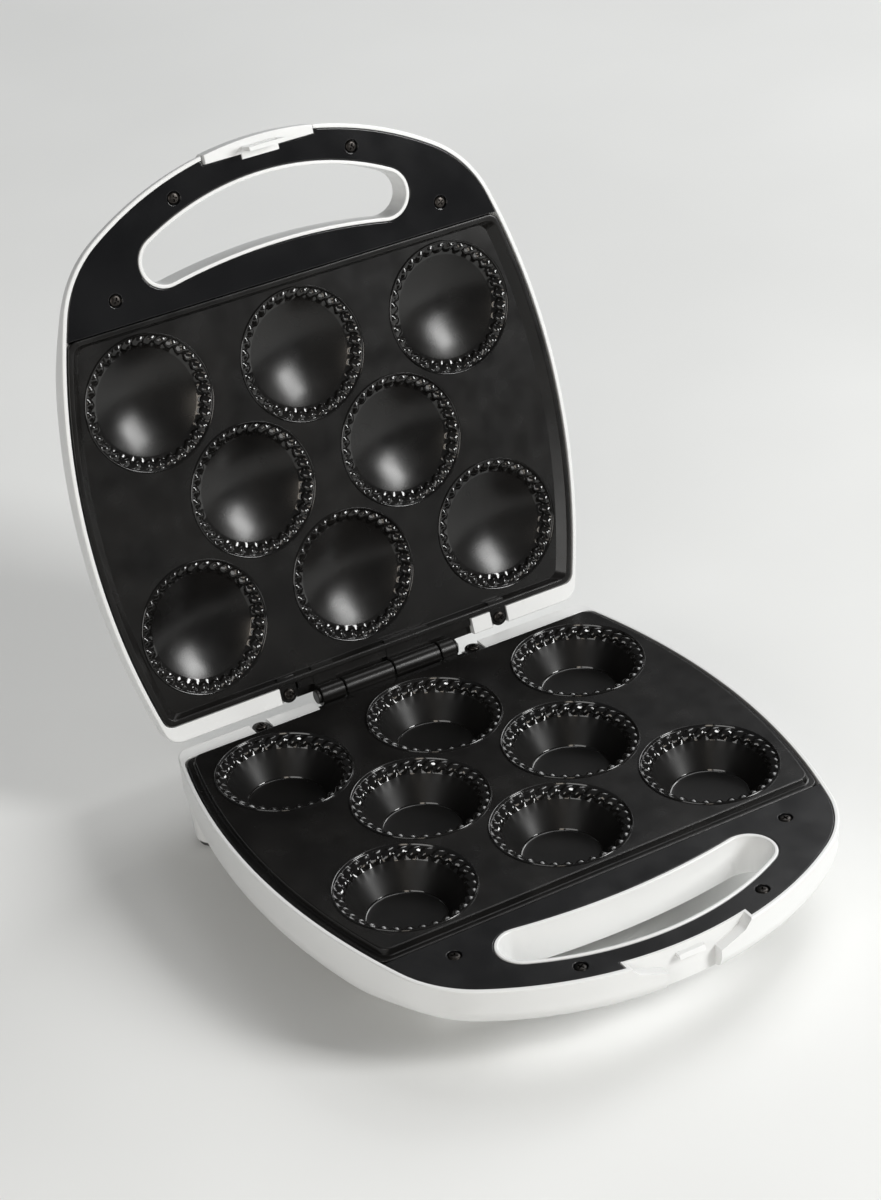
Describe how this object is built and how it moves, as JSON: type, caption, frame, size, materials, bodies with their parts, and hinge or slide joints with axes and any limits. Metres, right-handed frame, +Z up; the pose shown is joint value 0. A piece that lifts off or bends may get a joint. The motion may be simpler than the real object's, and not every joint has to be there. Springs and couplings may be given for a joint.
{
  "type": "cupcake maker",
  "caption": "Hinged countertop cooker with fluted round cups in its base, matching domes in its lid, open handles and a front latch.",
  "frame": {"origin": "on the surface it stands on, under the middle of its box with the lid open", "axes": "+Z up, -Y towards the handles and the user, +X to the user's right, along the hinge"},
  "size_m": [0.2404, 0.3302, 0.2762],
  "materials": {
    "white_plastic": "glossy moulded white",
    "black_plastic": "satin moulded black",
    "black_non_stick": "black non-stick coat on a casting",
    "dark_screw": "dark oxide",
    "black_steel": "blackened",
    "grey_rubber": "moulded",
    "element_steel": "dull sheath",
    "aluminium_sheet": "pressed sheet",
    "ceramic": "cream heat-proof moulding",
    "lamp_board": "bare laminate",
    "red_lens": "clear red moulding",
    "green_lens": "clear green moulding",
    "neon_glass": "clear tube"
  },
  "bodies": {
    "root": {"lower_shell": "white_plastic", "lower_plate": "black_non_stick", "lower_handle_panel": "black_plastic", "lower_panel_screw_1": "dark_screw", "lower_panel_screw_2": "dark_screw", "lower_panel_screw_3": "dark_screw", "lower_panel_screw_4": "dark_screw", "lower_plate_screw_1": "dark_screw", "lower_plate_screw_2": "dark_screw", "lower_heating_element": "element_steel", "lower_reflector": "aluminium_sheet", "rubber_foot_1": "grey_rubber", "rubber_foot_2": "grey_rubber", "rubber_foot_3": "grey_rubber", "rubber_foot_4": "grey_rubber", "hinge_pin": "black_steel", "hinge_clip": "black_steel", "thermostat": "ceramic", "thermal_fuse": "element_steel", "terminal_block": "ceramic", "cord_gland": "grey_rubber"},
    "lid": {"upper_shell": "white_plastic", "upper_plate": "black_non_stick", "upper_handle_panel": "black_plastic", "upper_panel_screw_1": "dark_screw", "upper_panel_screw_2": "dark_screw", "upper_panel_screw_3": "dark_screw", "upper_panel_screw_4": "dark_screw", "upper_plate_screw_1": "dark_screw", "upper_plate_screw_2": "dark_screw", "upper_heating_element": "element_steel", "upper_reflector": "aluminium_sheet", "power_lamp_lens": "red_lens", "power_neon_lamp": "neon_glass", "ready_lamp_lens": "green_lens", "ready_neon_lamp": "neon_glass", "lamp_board": "lamp_board", "latch_pin_left": "black_steel", "latch_pin_right": "black_steel"},
    "latch": {"latch_lever": "white_plastic"}
  },
  "joints": [
    {"name": "lid_hinge", "type": "hinge", "parent": "root", "child": "lid", "pos_m": [0, 0.08107, 0.04045], "axis": [1, 0, 0], "range_deg": [0, 107.3]},
    {"name": "latch_hinge", "type": "hinge", "parent": "lid", "child": "latch", "pos_m": [0, 0.16, 0.26849], "axis": [-1, 0, 0], "range_deg": [0, 15], "stiffness_Nm_per_rad": 0.05}
  ]
}
